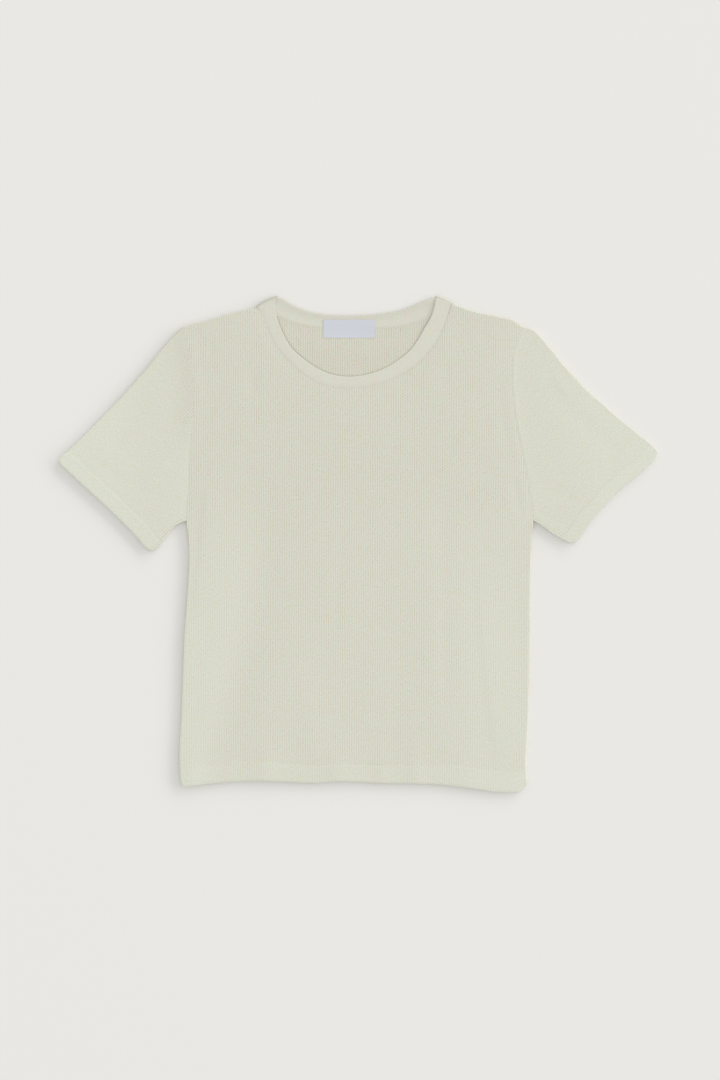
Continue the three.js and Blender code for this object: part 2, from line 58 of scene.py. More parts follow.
# %% Cloth, seams and heights
CLOTH = 1.3
HEM_CLOTH = 1.65
BAND_CLOTH = 1.4
LAYER_GAP = 0.3
SEWN_GAP = 0.008
HEM_DEPTH = 21.5
CUFF_HEM_DEPTH = 15.0
TOP_HEIGHT = 3.45
EDGE_HEIGHT = 3.55
EDGE_RADIUS = 0.42
SPREAD = 0.85
CORNER = 6.0
HEM_RISE = 0.15
BAND_HEIGHT, BAND_LOW = 2.75, 1.25
NECK_LIFT = 1.5
EDGE_BLEND = 14.0
WALE = 2.55

# %% Outlines in plan, in millimetres
ARMHOLE = np.array([  # height, left edge, right edge
    (238, -191.5, 181), (218, -187, 173), (202, -182.5, 170), (180, -180.5, 169.5),
    (158, -180.5, 170.5), (125, -182.5, 175), (103, -185, 179.5), (70, -186.5, 186),
    (48, -188, 189), (25, -188.5, 192.5),
])
FLANK = np.array([  # height, left edge, right edge
    (25, -188.5, 192.5), (12, -186.5, 190.5), (-5, -185, 189.5), (-33, -185.5, 188.5),
    (-64, -187.5, 188), (-106, -190.5, 187.5), (-150, -192, 187), (-190, -193.5, 186),
    (-225, -195.5, 184), (-245, -195.5, 183.5), (-267, -193.5, 185),
])
SHOULDER_LEFT = [(-191.5, 238), (-179.5, 241.5), (-164, 245.5), (-146.5, 251), (-128.5, 255.5),
                 (-111.5, 259)]
SHOULDER_RIGHT = [(103, 263.4), (119, 257.5), (131, 254), (156, 249), (169.5, 245.5), (181, 238)]
HEM = [(-193.5, -267), (-186, -266), (-152, -262), (-118, -260), (-80, -261), (-48, -262.5),
       (-20, -260.5), (28, -262.5), (81, -263.5), (119, -267.5), (153, -272), (177, -271.5),
       (185, -267)]
FRONT_SEAM = [(-111.5, 259), (-106, 251.5), (-101, 238), (-91.5, 218.5), (-77, 201),
              (-58.5, 184.5), (-36.5, 173.5), (-9, 170.5), (17.5, 174), (40.5, 182),
              (64, 196.5), (83.5, 217.5), (92.5, 234), (98, 249), (103, 263.4)]
FRONT_EDGE = [(-88.5, 271), (-91, 262), (-89, 249), (-84.5, 236), (-77.5, 221.5), (-66.5, 208.5),
              (-36.5, 188.5), (-7.5, 183.5), (25.5, 191), (54, 209.5), (64, 221.5), (72.5, 236),
              (80, 249), (84, 262), (85.5, 271.2)]
BACK_SEAM = [(-111.5, 259), (-108, 256.5), (-98, 253.8), (-89, 249.8), (-73, 242.8), (-58, 238.9),
             (-40, 237), (-14.5, 236), (20, 236.5), (44, 238.2), (61.5, 242.5), (77, 248.2),
             (91, 255.2), (99.6, 260.2), (103, 263.4)]
BACK_EDGE = [(-88.5, 271), (-80, 267.2), (-69.5, 261), (-54, 255.2), (-36.5, 251.8),
             (-14.5, 250.7), (9, 251.2), (33, 253.8), (53, 258.2), (71, 265.8), (85.5, 271.2)]
BAND_FOLDS = {  # seam end, edge end, how far the fold bows out
    "left": ((-111.3, 259.5), (-88.5, 271), 1.3), "right": ((102.8, 263.7), (85.5, 271.2), 0.9),
}
SLEEVES = {
    "left": {
        "top": [(-191.5, 238), (-199, 231.5), (-208, 221.5), (-218, 209.5), (-232, 192),
                (-263, 157), (-297, 121.5), (-319, 100.5), (-330, 91)],
        "underarm": [(-188.5, 25), (-194, 23.5), (-200, 21), (-207, 14), (-214.5, 4),
                     (-222, -5), (-227.5, -9)],
        "cuff": [(-227.5, -9), (-234.5, -2), (-242, 7), (-267.5, 33), (-307, 69.5), (-330, 91)],
    },
    "right": {
        "top": [(181, 238), (191.5, 234), (201.5, 224.5), (214.5, 209), (229, 191.5),
                (264, 156), (304.5, 121), (321, 108), (330, 98.5)],
        "underarm": [(192.5, 25), (198, 22.5), (207, 16.5), (219, 9), (230, 3), (236.5, 0)],
        "cuff": [(236.5, 0), (242.5, 7), (257.5, 28), (285, 58), (318, 86), (330, 98.5)],
    },
}
LABEL = {"left": -38.0, "right": 18.5, "top": 246.0, "bottom": 226.0, "seam": 236.5}

label_low, label_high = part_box("label")
SHIFT = np.array([label_low[0] / MM - LABEL["left"], label_low[1] / MM - LABEL["bottom"], 0.0])
print("plan is moved by", SHIFT.round(2), "mm to meet the solids")


# %% A spline through a table's rows
def spline(rows, samples=40):
    """A centripetal Catmull-Rom curve through rows of (x, y), read by its share of length."""
    p = np.array(rows, float)
    p = np.vstack([2 * p[0] - p[1], p, 2 * p[-1] - p[-2]])
    steps = np.linalg.norm(np.diff(p, axis=0), axis=1) ** 0.5
    t = np.linspace(0, 1, samples, endpoint=False)[:, None]
    points = []
    for i in range(1, len(p) - 2):
        before, here, after = steps[i - 1], steps[i], steps[i + 1]
        leave = ((p[i] - p[i - 1]) / before - (p[i + 1] - p[i - 1]) / (before + here)
                 + (p[i + 1] - p[i]) / here) * here
        reach = ((p[i + 1] - p[i]) / here - (p[i + 2] - p[i]) / (here + after)
                 + (p[i + 2] - p[i + 1]) / after) * here
        a = 2 * t ** 3 - 3 * t ** 2 + 1
        b = t ** 3 - 2 * t ** 2 + t
        c = t ** 3 - t ** 2
        points.append(a * p[i] + b * leave + (1 - a) * p[i + 1] + c * reach)
    line = np.vstack(points + [p[-2:-1]])
    length = np.concatenate([[0], np.cumsum(np.linalg.norm(np.diff(line, axis=0), axis=1))])

    def at(share):
        where = np.clip(share, 0, 1) * length[-1]
        return np.stack([np.interp(where, length, line[:, k]) for k in (0, 1)], -1)

    at.length = float(length[-1])
    at.line = line
    return at


def smooth(low, high, value):
    t = np.clip((value - low) / (high - low), 0, 1)
    return t * t * (3 - 2 * t)


def lerp(a, b, t):
    return a + (b - a) * t


# %% [markdown]
# Creases in a laid knit are soft: a low trough or ridge a few fingers long, with no sharp edge,
# and often steeper on one side. Each is a row: where it starts, passes and ends, how wide it is
# to the left and to the right of its line, and its height, negative for a trough. They are
# placed where the light shows them on the real top.

# %% Creases of the upper layer
CREASES = [  # start, middle, end, half width on the left, on the right, height
    ((-96, 62), (-114, -92), (-157, -262), 32, 25, -0.54),
    ((-162, 72), (-169, 14), (-181, -95), 5, 24, 0.28),
    ((90, 92), (92.5, -50), (99, -205), 8, 11, -0.23),
    ((132, -8), (143, -135), (159, -262), 7, 26, 0.27),
    ((-17, 38), (-22, -60), (-27, -112), 7, 7, -0.12),
    ((50, -80), (44, -165), (40, -250), 12, 14, -0.13),
    ((-60, -150), (-52, -200), (-46, -250), 9, 14, 0.19),
    ((-190, 214), (-178, 190), (-166, 168), 7, 7, -0.14),
    ((-120, 196), (-117, 178), (-118, 160), 8, 8, -0.24),
    ((-164, 222), (-162, 214), (-160, 206), 6, 6, -0.19),
    ((100, 196), (96, 182), (92, 168), 7, 7, -0.12),
    ((173, 76), (176, 50), (178, 32), 6, 2.6, -0.23),
    ((170, 206), (163, 150), (172, 96), 9, 4, -0.12),
    ((-102, -60), (-66, -62), (-30, -60), 4, 4, -0.09),
    ((-80, 68), (-20, 70), (60, 66), 6, 6, -0.07),
    ((205, 176), (250, 132), (292, 94), 12, 9, -0.21),
    ((214, 186), (222, 176), (230, 160), 4, 5, 0.17),
    ((262, 60), (276, 76), (290, 92), 5, 5, -0.14),
    ((206, 60), (222, 54), (240, 50), 7, 7, -0.17),
    ((-226, 164), (-252, 132), (-278, 100), 10, 10, -0.17),
    ((-252, 60), (-272, 78), (-292, 96), 5, 5, -0.10),
    ((-206, 96), (-224, 80), (-238, 60), 10, 10, 0.14),
]
HEM_WAVES = [  # centre, half width, height: the turned hem ripples along its length
    (-190, 24, 0.85), (-100, 17, 0.60), (-22, 17, 0.52), (27, 8, 0.30), (64, 10, 0.40),
    (120, 16, 0.25),
]


def crease_height(x, y):
    """Height that the creases add at plan places x, y."""
    place = np.stack([x, y], -1)
    total = np.zeros(x.shape)
    for start, middle, end, left, right, height in CREASES:
        line = spline([start, middle, end], 6).line
        nearest = np.full(x.shape, 1e9)
        share, half = np.zeros(x.shape), np.ones(x.shape)
        steps = len(line) - 1
        for i in range(steps):
            along = line[i + 1] - line[i]
            off = place - line[i]
            t = np.clip((off @ along) / (along @ along), 0, 1)
            away = np.linalg.norm(off - t[..., None] * along, axis=-1)
            side = along[0] * off[..., 1] - along[1] * off[..., 0]
            nearer = away < nearest
            nearest = np.where(nearer, away, nearest)
            share = np.where(nearer, (i + t) / steps, share)
            to_left = (side < 0) == (line[-1][1] < line[0][1])
            half = np.where(nearer, np.where(to_left, left, right), half)
        fade = smooth(0, 0.3, share) * smooth(0, 0.22, 1 - share)
        total += height * fade * np.exp(-((nearest / half) ** 2))
    return total


def drift(x, y):
    """Broad unevenness of cloth that was smoothed by hand, a few tenths of a millimetre."""
    return (0.12 * np.sin(x / 47 + y / 83 + 0.6) + 0.08 * np.sin(x / 29 - y / 61 + 2.1)
            + 0.04 * np.sin(x / 17 + y / 38 + 4.0))


def line_distance(x, y, line):
    """Distance of plan places from a polyline."""
    nearest = np.full(x.shape, 1e9)
    for a, b in zip(line[:-1], line[1:]):
        along = b - a
        t = ((x - a[0]) * along[0] + (y - a[1]) * along[1]) / max(along @ along, 1e-9)
        t = np.clip(t, 0, 1)
        nearest = np.minimum(nearest, np.hypot(x - a[0] - t * along[0], y - a[1] - t * along[1]))
    return nearest


def within(x, y, outline):
    """True where a plan place lies in a closed outline."""
    inside = np.zeros(x.shape, bool)
    for a, b in zip(outline, np.roll(outline, -1, axis=0)):
        if a[1] != b[1]:
            reach = a[0] + (b[0] - a[0]) * (y - a[1]) / (b[1] - a[1])
            inside ^= ((a[1] > y) != (b[1] > y)) & (x < reach)
    return inside


print(len(CREASES), "creases, deepest", min(row[-1] for row in CREASES), "mm")


# %% How pale the knit is, with painted light beside the long creases
def body_paleness_and_painted_light(x, y):
    """From 0 to 1, darker to paler: painted light on the lit side of the two long creases, mostly low on
    the left and right; darker over the upper chest, paler lower down and at the flanks.
    """
    left_line = np.interp(y, [-262, -92, 92], [-160, -116, -98])
    right_line = np.interp(y, [-262, -125, 26, 120], [160, 143, 132, 150])
    left = smooth(10, -26, x - left_line) * smooth(110, -110, y)
    right = smooth(-80, 0, x - right_line) * smooth(120, -120, y)
    flank = smooth(70, 130, np.abs(x)) * smooth(20, 90, y)
    chest = 0.22 * smooth(70, 0, y) + 0.12 * smooth(0, -230, y) + 0.12 * flank
    return np.clip(chest + 0.6 * left + 0.55 * right, 0, 1)

# %% [markdown]
# Cloth has two faces and a thickness. A wall is made from one grid of outer points: the inner
# points lie one thickness behind them, a rim closes the sides, and the inner grid is coarser
# because it is hardly seen. A shell of real thickness casts a true shadow and keeps its edge
# when seen from the side, which a sheet with no thickness doesn't.


# %% Closed walls and rings
def mesh_piece(name, points, faces, uv, full=None, sharp=40):
    """A mesh object from points in plan millimetres, with a map of the knit in millimetres."""
    mesh = bpy.data.meshes.new(name)
    mesh.from_pydata(((points + SHIFT) * MM).tolist(), [], faces)
    layer = mesh.uv_layers.new(name="knit")
    corner = np.empty(len(mesh.loops), np.int32)
    mesh.loops.foreach_get("vertex_index", corner)
    layer.data.foreach_set("uv", uv[corner].astype(np.float32).ravel())
    # Each point's tone goes to the shader: the knit's paleness together with painted light and shade.
    if full is not None:
        mesh.attributes.new("tone_with_painted_light_and_shade", "FLOAT", "POINT").data.foreach_set("value", full)
    mesh.polygons.foreach_set("use_smooth", [True] * len(mesh.polygons))
    mesh.set_sharp_from_angle(angle=math.radians(sharp))
    mesh.update()
    piece = bpy.data.objects.new(name, mesh)
    bpy.context.scene.collection.objects.link(piece)
    triangles = sum(len(p.vertices) - 2 for p in mesh.polygons)
    print(name, len(mesh.vertices), "points,", triangles, "triangles")
    return piece


def grid_normals(points, facing):
    """Unit normals of a grid of points, turned to the side that facing gives."""
    down = np.gradient(points, axis=0)
    across = np.gradient(points, axis=1)
    normal = np.cross(down, across)
    normal /= np.maximum(np.linalg.norm(normal, axis=-1, keepdims=True), 1e-12)
    turned = np.sign((normal * facing).sum(-1, keepdims=True))
    return normal * np.where(turned == 0, 1, turned)


def wall(name, outer, normals, cloth, uv, step, full=None, full_inside=None):
    rows, columns = outer.shape[:2]
    keep_rows = sorted({*range(0, rows, step), rows - 1})
    keep_columns = sorted({*range(0, columns, step), columns - 1})
    inner = (outer - normals * cloth[..., None])[np.ix_(keep_rows, keep_columns)]
    number = np.arange(rows * columns).reshape(rows, columns)
    within = rows * columns + np.arange(inner[..., 0].size).reshape(inner.shape[:2])
    faces = []

    def quads(grid, flip):
        a, b = grid[:-1, :-1].ravel(), grid[1:, :-1].ravel()
        c, d = grid[1:, 1:].ravel(), grid[:-1, 1:].ravel()
        corners = (a, d, c, b) if flip else (a, b, c, d)
        faces.extend(np.stack(corners, -1).tolist())

    centre = (rows // 2, columns // 2)
    edge_a = outer[centre[0] + 1, centre[1]] - outer[centre]
    edge_b = outer[centre[0], centre[1] + 1] - outer[centre]
    flip = np.cross(edge_a, edge_b) @ normals[centre] < 0
    quads(number, flip)
    quads(within, not flip)

    def rim(fine, keep, coarse, turn):
        for i in range(len(keep) - 1):
            run = [int(v) for v in fine[keep[i]:keep[i + 1] + 1]]
            face = run + [int(coarse[i + 1]), int(coarse[i])]
            faces.append(face[::-1] if turn != flip else face)

    rim(number[0], keep_columns, within[0], True)
    rim(number[-1], keep_columns, within[-1], False)
    rim(number[:, 0], keep_rows, within[:, 0], False)
    rim(number[:, -1], keep_rows, within[:, -1], True)
    points = np.vstack([outer.reshape(-1, 3), inner.reshape(-1, 3)])
    coarse = np.ix_(keep_rows, keep_columns)
    maps = np.vstack([uv.reshape(-1, 2), uv[coarse].reshape(-1, 2)])
    if full is not None:
        inside = full if full_inside is None else full_inside
        full = np.concatenate([full.ravel(), inside[coarse].ravel()]).astype(np.float32)
    return mesh_piece(name, points, faces, maps, full)


def ring(name, sections, uv, full):
    """A tube of equal sections, closed on itself."""
    number = np.arange(sections.shape[0] * sections.shape[1]).reshape(sections.shape[:2])
    after = np.roll(number, -1, axis=1)
    stack = (number, np.roll(number, -1, axis=0), np.roll(after, -1, axis=0), after)
    faces = np.stack([part.ravel() for part in stack], -1).tolist()
    full = full.astype(np.float32).ravel()
    return mesh_piece(name, sections.reshape(-1, 3), faces, uv.reshape(-1, 2), full)


# %% [markdown]
# A body panel is a grid of upright columns, because the ribs of the knit run straight up the
# body. The columns end at the shoulder or the neck and at the hem, and only in a narrow strip at
# each side do they bend to follow the armhole and the side seam. Where the outline is a fold, the
# surface turns down in a quarter round, with its own close rows of points.

# %% Body grid
UPRIGHT_LEFT, UPRIGHT_RIGHT = -171.0, 160.5
ROLL = EDGE_RADIUS * np.array([0.0, 0.04, 0.15, 0.32, 0.55, 0.8, 1.0])


def side_edge(column, height):
    """The panel's edge at a height: a spline through the sections."""
    upper = spline(np.stack([ARMHOLE[:, column], ARMHOLE[:, 0]], -1)).line
    lower = spline(np.stack([FLANK[:, column], FLANK[:, 0]], -1)).line
    line = np.vstack([upper, lower[1:]])[::-1]
    return np.interp(height, line[:, 1], line[:, 0])


def body_plan(neck, per_wale, row_mm, neck_row_mm, neck_depth):
    """Plan places of a body panel. Its rows are row_mm apart, and closer down to neck_depth."""
    left, middle, right = spline(SHOULDER_LEFT).line, spline(neck).line, spline(SHOULDER_RIGHT).line
    top = np.vstack([left, middle[1:], right[1:]])
    hem = spline(HEM).line
    step = WALE / per_wale
    upright = np.arange(UPRIGHT_LEFT, UPRIGHT_RIGHT + 1e-6, step)
    margin = np.concatenate([np.linspace(0, 1, 13)[1:-1]])
    columns = [("left", d, None) for d in ROLL] + [("left", EDGE_RADIUS, m) for m in margin]
    columns += [("upright", x, None) for x in upright]
    columns += [("right", EDGE_RADIUS, m) for m in margin[::-1]]
    columns += [("right", d, None) for d in ROLL[::-1]]
    length = top[:, 1].max() - hem[:, 1].min()
    near = np.arange(EDGE_RADIUS, neck_depth, neck_row_mm)
    shares = [ROLL[:-1], near, np.linspace(neck_depth, length, int((length - neck_depth) / row_mm))]
    shares = np.concatenate(shares) / length
    hem_shares = 1 - np.array([HEM_DEPTH + 1.0, HEM_DEPTH, HEM_DEPTH - 0.9, HEM_DEPTH - 1.8]) / length
    shares = np.unique(np.concatenate([shares, hem_shares, [1 - 1.2 / length, 1 - 0.4 / length]]))
    x = np.zeros((len(shares), len(columns)))
    y = np.zeros_like(x)
    for j, (kind, value, part) in enumerate(columns):
        if kind == "upright":
            x[:, j] = value
            high = np.interp(value, top[:, 0], top[:, 1])
            low = np.interp(value, hem[:, 0], hem[:, 1])
            y[:, j] = lerp(high, low, shares)
            continue
        sign = 1 if kind == "left" else -1
        corner_top, corner_hem = (top[0], hem[0]) if sign > 0 else (top[-1], hem[-1])
        inner = UPRIGHT_LEFT if sign > 0 else UPRIGHT_RIGHT
        edge_y = lerp(corner_top[1], corner_hem[1], shares)
        edge_x = side_edge(1 if sign > 0 else 2, edge_y)
        edge_x[0], edge_x[-1] = corner_top[0], corner_hem[0]
        rolled = edge_x + sign * value
        x[:, j] = rolled if part is None else lerp(rolled, inner, part)
        across = (x[:, j] - edge_x) / (inner - edge_x)
        top_y = np.interp(lerp(corner_top[0], inner, across[0]), top[:, 0], top[:, 1])
        hem_y = np.interp(lerp(corner_hem[0], inner, across[-1]), hem[:, 0], hem[:, 1])
        y[:, j] = lerp(top_y, hem_y, shares)
    return x, y, shares, length


def body_distances(x, y, shares, length):
    left = x - side_edge(1, y)
    right = side_edge(2, y) - x
    from_side = np.minimum(left, right)
    from_top = np.repeat(shares[:, None] * length, x.shape[1], 1)
    from_hem = np.repeat((1 - shares[:, None]) * length, x.shape[1], 1)
    neck = (x > FRONT_SEAM[0][0]) & (x < FRONT_SEAM[-1][0])
    return np.maximum(from_side, 0), from_top, from_hem, neck


def roll_angle(distance):
    """How far a rounded edge has turned at a distance in from the outline."""
    return np.arccos(np.clip(1 - distance / EDGE_RADIUS, 0, 1))


def pressed(distance):
    """Cloth is pressed thinner in its own fold, so that the inside of the fold doesn't cross."""
    return lerp(0.5, 1, smooth(0, 3 * EDGE_RADIUS, distance))


UNDERARM_Y = float(ARMHOLE[-1, 0])
x, y, shares, length = body_plan(FRONT_SEAM, 1.5, 3.2, 1.4, 10)
print("front grid", x.shape, "rows and columns,", round(length), "mm long")


# %% Front panel
def hem_profile(from_end, depth):
    """0 on the single cloth and 1 on the turned hem, which is thicker."""
    return smooth(depth + 2.0, depth - 4.0, from_end)


def ridge(away, half):
    return np.exp(-((away / half) ** 2))


def hem_relief(from_end, depth):
    """A turned hem: a low step, the ridge of its sewn edge, its stitched groove, its round end."""
    step = HEM_RISE * hem_profile(from_end, depth)
    sewn = 0.03 * ridge(from_end - depth + 1.6, 1.3) - 0.05 * ridge(from_end - depth - 0.8, 1.0)
    return step + sewn - 0.25 * ridge(from_end, 0.6)


def body_roll(from_side, from_top, neck, y):
    side_on = smooth(UNDERARM_Y + 2, UNDERARM_Y - 6, y)
    side_angle = lerp(math.pi / 2, roll_angle(from_side), side_on)
    top_angle = np.where(neck, math.pi / 2, roll_angle(from_top))
    return np.minimum(side_angle, top_angle), side_on


NECK_LINE = spline(FRONT_SEAM, 4).line
TO_LIGHT = (math.cos(math.radians(30)), math.sin(math.radians(30)))


def painted_edge_light_and_shade(out_x, out_y):
    """Painted shade on a rolled edge that faces the light, and painted light on one that turns away from
    it.
    """
    facing = out_x * TO_LIGHT[0] + out_y * TO_LIGHT[1]
    return 1.2 * facing + 0.6 * np.abs(facing)


def rounded(from_a, from_b):
    """How far a corner's points move in from their two edges, to round it in plan."""
    a, b = (np.clip(1 - away / CORNER, 0, 1) for away in (from_a, from_b))
    return CORNER * a * (1 - np.sqrt(1 - b * b / 2)), CORNER * b * (1 - np.sqrt(1 - a * a / 2))


def spread(x, y, from_side, from_hem, side_on):
    """Free edges lie a little further out than the drawn line, and the hem's corners are round."""
    by_side, by_hem = 1 - smooth(0, 12, from_side), 1 - smooth(0, 12, from_hem)
    in_side, in_hem = rounded(from_side, from_hem)
    out = SPREAD * by_side * side_on - in_side
    return x + np.sign(x) * out, y - SPREAD * by_hem + in_hem


def front_panel():
    from_side, from_top, from_hem, neck = body_distances(x, y, shares, length)
    cloth = lerp(CLOTH, HEM_CLOTH, hem_profile(from_hem, HEM_DEPTH)) * pressed(from_side)
    angle, side_on = body_roll(from_side, from_top, neck, y)
    by_side = 1 - smooth(0, EDGE_BLEND, from_side)
    by_top = 1 - smooth(0, EDGE_BLEND, from_top)
    to_neck = line_distance(x, y, NECK_LINE)
    waves = sum(h * ridge(x - c, w) for c, w, h in HEM_WAVES) * smooth(70, 4, from_hem)
    relief = (crease_height(x, y) + drift(x, y)) * (1 - 0.6 * np.maximum(by_side, by_top)) + waves
    relief = relief * lerp(smooth(0, 18, from_side), 1, side_on) * smooth(0, 10, to_neck)
    height = TOP_HEIGHT + relief + hem_relief(from_hem, HEM_DEPTH)
    height = lerp(height, EDGE_HEIGHT + 0.5 * relief, by_side * side_on)
    height = lerp(height, EDGE_HEIGHT + 0.5 * relief, np.where(neck, 0, by_top))
    seam_shows = np.where(x < 0, 0.35 * smooth(150, 60, y), smooth(190, 120, y)) * (1 - side_on)
    height = height - 0.12 * ridge(from_side, 1.6) * seam_shows
    height = height - np.where(neck, 0.10 * ridge(from_top, 2.0), 0)
    middle = (EDGE_HEIGHT + LAYER_GAP) / 2
    z = middle + (height - middle) * np.sin(angle)
    points = np.stack([*spread(x, y, from_side, from_hem, side_on), z], -1)
    facing = np.zeros_like(points)
    facing[..., 2] = 1
    normals = grid_normals(points, facing)
    to_side = roll_angle(from_side) < roll_angle(from_top)
    outward = np.stack([np.sign(x) * to_side, (~to_side) * 1.0, 0 * x], -1)
    rounded = outward * np.cos(angle)[..., None] + facing * np.sin(angle)[..., None]
    normals = np.where((angle < math.pi / 2 - 0.02)[..., None], rounded, normals)
    normals /= np.linalg.norm(normals, axis=-1, keepdims=True)
    # The front's tone per point: painted light beside the two long creases; paler on the turned hem and
    # within 40 mm of the right armhole; painted shade along the neck seam and along the armhole seam where
    # it shows; painted shade on the right side edge, which faces the light, and painted light on the left
    # side edge and the hem edge, which turn away.
    full = np.clip(body_paleness_and_painted_light(x, y) + 0.35 * hem_profile(from_hem, HEM_DEPTH), 0, 1.3)
    full = full + 0.3 * smooth(40, 4, from_side) * (1 - side_on) * (x > 0)
    full = full - 0.35 * ridge(to_neck, 2.2)
    full = full - 0.4 * ridge(from_side, 1.4) * seam_shows
    full = full - painted_edge_light_and_shade(np.sign(x), 0 * x) * ridge(from_side, 0.7) * side_on
    full = full - painted_edge_light_and_shade(0, -1) * ridge(from_hem, 0.7)
    return wall("front_panel", points, normals, cloth, np.stack([x, y], -1), 2, full)


front = front_panel()

# %% [markdown]
# The back panel lies face down on the surface. Only its inside shows, in the neck opening, and
# the rest of it is seen from below, where it rests flat.

# %% Back panel
back_x, back_y, back_shares, back_length = body_plan(BACK_SEAM, 2, 6.5, 1.3, 78)
BAND_EDGE_LINE = spline(FRONT_EDGE, 8).line
OPENING = np.vstack([BAND_EDGE_LINE, spline(BACK_EDGE, 8).line[::-1]])


def inside_lift(x, y, from_top):
    """In the neck opening the cloth is free of the front, and rises a little to the band's edge."""
    rise = lerp(0.65, NECK_LIFT, smooth(1, 32, from_top)) + 0.6 * drift(x, y)
    depth = line_distance(x, y, BAND_EDGE_LINE) * np.where(within(x, y, OPENING), 1, -1)
    return rise * smooth(-1.6, 1.2, depth) * (y > 150)


def back_panel():
    x, y = back_x, back_y
    from_side, from_top, from_hem, neck = body_distances(x, y, back_shares, back_length)
    cloth = lerp(CLOTH, HEM_CLOTH, hem_profile(from_hem, HEM_DEPTH)) * pressed(from_side)
    angle, side_on = body_roll(from_side, from_top, neck, y)
    middle = (EDGE_HEIGHT - LAYER_GAP) / 2
    lift = inside_lift(x, y, from_top)
    z = middle - middle * np.sin(angle) + lift
    points = np.stack([*spread(x, y, from_side, from_hem, side_on), z], -1)
    facing = np.zeros_like(points)
    facing[..., 2] = -1
    by_side = roll_angle(from_side) < roll_angle(from_top)
    outward = np.stack([np.sign(x) * by_side, (~by_side) * 1.0, 0 * x], -1)
    normals = outward * np.cos(angle)[..., None] + facing * np.sin(angle)[..., None]
    normals /= np.linalg.norm(normals, axis=-1, keepdims=True)
    full = body_paleness_and_painted_light(x, y)
    # The inner face has half the outer face's tone, and in the neck opening it is painted darker: painted
    # shade in the opening.
    inside = 0.5 * full - 0.55 * within(x, y, OPENING)
    return wall("back_panel", points, normals, cloth, np.stack([x, y], -1), 1, full, inside)


back = back_panel()

# %% [markdown]
# Each sleeve is one piece of cloth folded along its top edge, with its two ends meeting at the
# underarm seam. In section it is a flat C: upper layer, fold, under layer. Its ribs run down the
# arm, so the map that the knit follows is turned to the sleeve's own direction.

# %% Sleeves
def patch(left, right, low, high, s, t):
    """Plan places between four edges: low and high are read along s, left and right along t."""
    s2, t2 = s[None, :, None], t[:, None, None]
    sides = (1 - s2) * left(t)[:, None] + s2 * right(t)[:, None]
    ends = (1 - t2) * low(s)[None] + t2 * high(s)[None]
    a, b = low(np.array([0.0]))[0], low(np.array([1.0]))[0]
    c, d = high(np.array([0.0]))[0], high(np.array([1.0]))[0]
    corners = (1 - s2) * (1 - t2) * a + s2 * (1 - t2) * b + (1 - s2) * t2 * c + s2 * t2 * d
    return sides + ends - corners


def sleeve_plan(side, across_count, along_count):
    """Plan places of one layer: rows from armhole to cuff, columns from underarm to fold."""
    edges = SLEEVES[side]
    column, sign = (1, -1) if side == "left" else (2, 1)
    armhole = spline(np.stack([ARMHOLE[::-1, column], ARMHOLE[::-1, 0]], -1))
    top, underarm, cuff = (spline(edges[name]) for name in ("top", "underarm", "cuff"))
    clear = np.array([sign * SEWN_GAP, 0])
    v = np.linspace(0, 1, across_count)
    roll = ROLL / (0.8 * armhole.length)
    v = np.unique(np.concatenate([roll, v[(v > roll[-1]) & (v < 1 - roll[-1])], 1 - roll]))
    top_hem = 1 - CUFF_HEM_DEPTH / top.length
    under_hem = 1 - CUFF_HEM_DEPTH / underarm.length
    low = underarm(np.array([under_hem]))[0] - cuff(np.array([0.0]))[0]
    high = top(np.array([top_hem]))[0] - cuff(np.array([1.0]))[0]

    def hem_line(share):
        return cuff(share) + lerp(low, high, share[:, None])

    q = np.unique(np.concatenate([[0, 0.006, 0.014, 0.024], np.linspace(0, 1, along_count)]))
    main = patch(lambda t: underarm(t * under_hem) + (1 - t)[:, None] * clear,
                 lambda t: top(t * top_hem) + (1 - t)[:, None] * clear,
                 lambda s: armhole(s) + clear, hem_line, v, q)
    q_hem = np.array([0.06, 0.12, 0.18, 0.26, 0.36, 0.5, 0.64, 0.78, 0.88, 0.94, 0.975, 1.0])
    hem = patch(lambda t: underarm(lerp(under_hem, 1, t)), lambda t: top(lerp(top_hem, 1, t)),
                hem_line, cuff, v, q_hem)
    plan = np.vstack([main, hem])
    steps = np.linalg.norm(np.diff(plan, axis=0), axis=-1)
    travelled = np.vstack([np.zeros(len(v)), np.cumsum(steps, axis=0)])
    span = np.linalg.norm(plan[:, -1] - plan[:, 0], axis=-1)[:, None]
    print(side, "sleeve", plan.shape[:2], "rows and columns, top edge", round(top.length), "mm")
    return plan, v, travelled, travelled[-1] - travelled, v * span, (1 - v) * span


